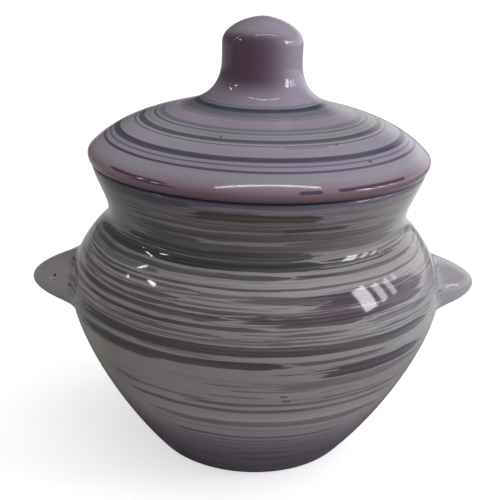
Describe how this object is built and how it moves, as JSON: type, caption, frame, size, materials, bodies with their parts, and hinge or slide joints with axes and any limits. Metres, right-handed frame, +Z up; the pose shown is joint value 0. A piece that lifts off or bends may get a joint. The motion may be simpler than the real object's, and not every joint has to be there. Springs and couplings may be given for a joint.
{
  "type": "lidded clay pot",
  "caption": "Round-bellied glazed clay pot with a flared collar and a solid lug on each side, and a domed lid with a knob that rests in its mouth.",
  "frame": {"origin": "centre of the foot, on the surface that the pot stands on", "axes": "+Z up along the turning axis, +X through one lug, the other lug along -X"},
  "size_m": [0.1552, 0.128, 0.1474],
  "materials": {
    "pot_glaze": "gloss glaze, brushed stripes",
    "lid_glaze": "gloss glaze, brushed stripes"
  },
  "bodies": {
    "root": {"pot": "pot_glaze", "lid": "lid_glaze"}
  },
  "joints": []
}
